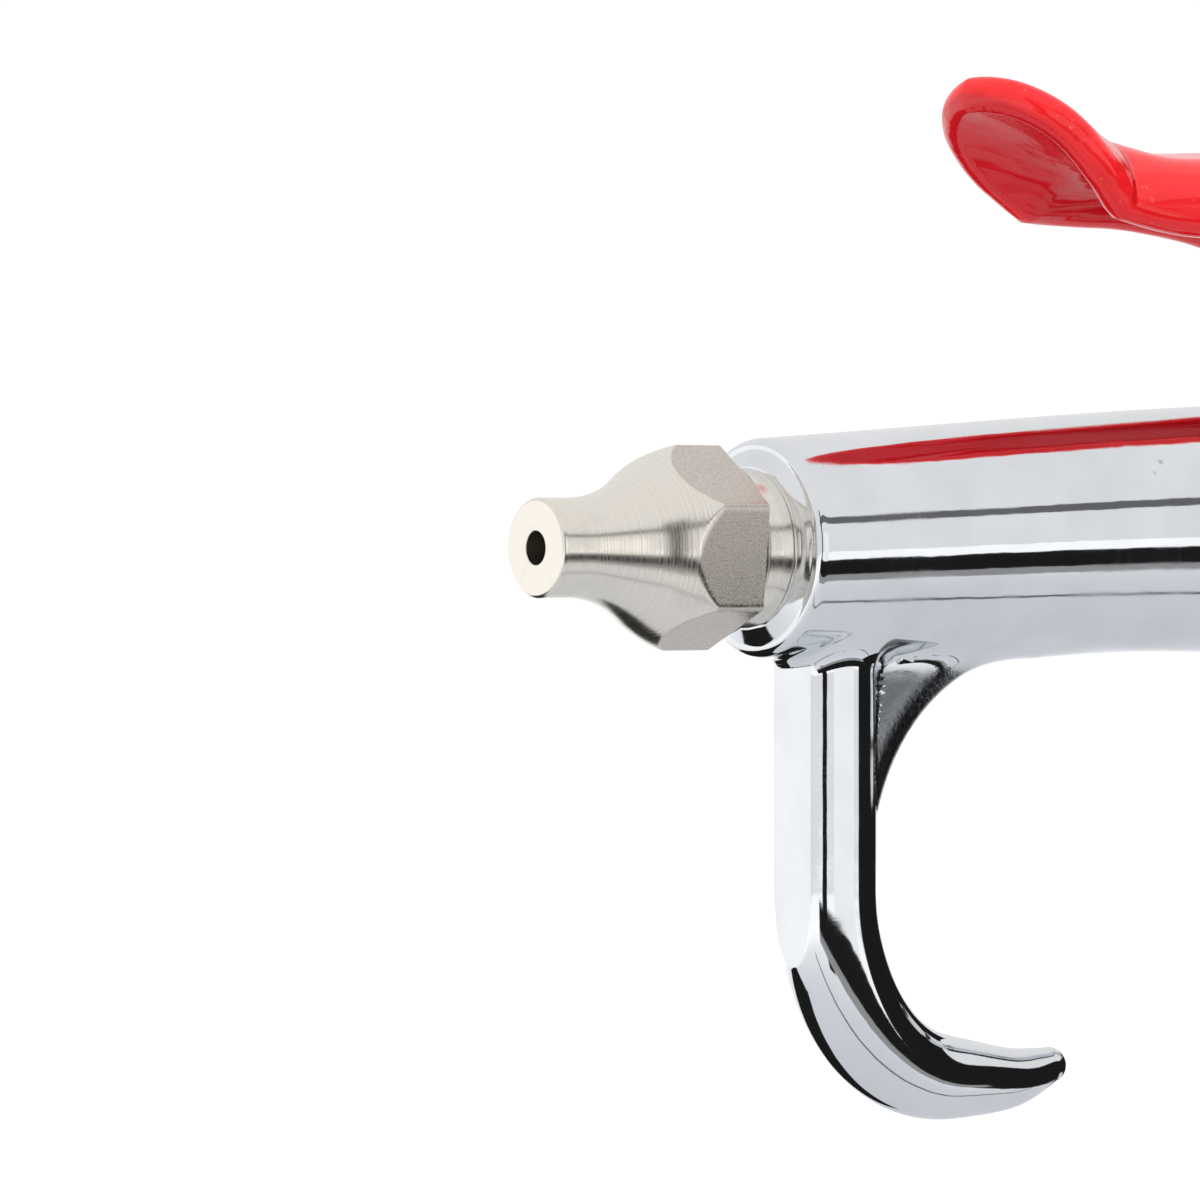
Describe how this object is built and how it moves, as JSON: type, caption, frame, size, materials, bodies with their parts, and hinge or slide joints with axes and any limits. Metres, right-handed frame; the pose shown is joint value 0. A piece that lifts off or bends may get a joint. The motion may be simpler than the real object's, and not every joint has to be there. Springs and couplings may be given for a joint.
{
  "type": "air blow gun",
  "caption": "Chromed pistol-less air blow gun with a screwed nozzle, a hanging hook, a red dipped squeeze lever and a poppet valve.",
  "frame": {"origin": "centre of the air inlet's end face, on the gun's long axis", "axes": "+X from the nozzle to the air inlet, along the gun; +Z towards the lever; +Y completes the frame, and the gun is symmetric about the XZ plane apart from the pin's head and clip and the lever's slight lean"},
  "size_m": [0.1566, 0.0236, 0.0837],
  "materials": {
    "chrome": "bright chrome plate on a zinc casting",
    "nickel": "satin nickel plate on turned brass",
    "brass": "turned brass",
    "steel": "bright zinc-plated steel",
    "red_coat": "glossy dipped vinyl",
    "black_rubber": "moulded nitrile rubber",
    "white_plastic": "natural nylon"
  },
  "bodies": {
    "body": {"body_casting": "chrome", "nozzle": "nickel", "nozzle_seal": "black_rubber", "inlet_bush": "nickel", "inlet_washer": "black_rubber", "valve_seat": "brass", "stem_guide_nut": "brass", "stem_seal": "black_rubber", "valve_spring": "steel", "valve_cap": "nickel", "cap_washer": "black_rubber", "hinge_pin": "steel", "pin_clip": "steel", "hinge_washer_left": "white_plastic", "hinge_washer_right": "white_plastic"},
    "lever": {"lever_arm": "steel", "lever_grip": "red_coat"},
    "stem": {"valve_stem": "steel", "valve_seal": "black_rubber", "valve_poppet": "brass", "poppet_nut": "steel"}
  },
  "joints": [
    {"name": "lever_hinge", "type": "hinge", "parent": "body", "child": "lever", "pos_m": [-0.0238, 0, 0.0155], "axis": [0, -1, 0], "range_deg": [0, 8], "stiffness_Nm_per_rad": 0.94, "springref_deg": -13.75},
    {"name": "stem_slide", "type": "slide", "parent": "body", "child": "stem", "axis": [0, 0, -1], "range_m": [0, 0.0036], "deforming": ["valve_spring"]}
  ],
  "couplings": [
    {"joint": "stem_slide", "follows": "lever_hinge", "m_per_rad": 0.0255}
  ]
}
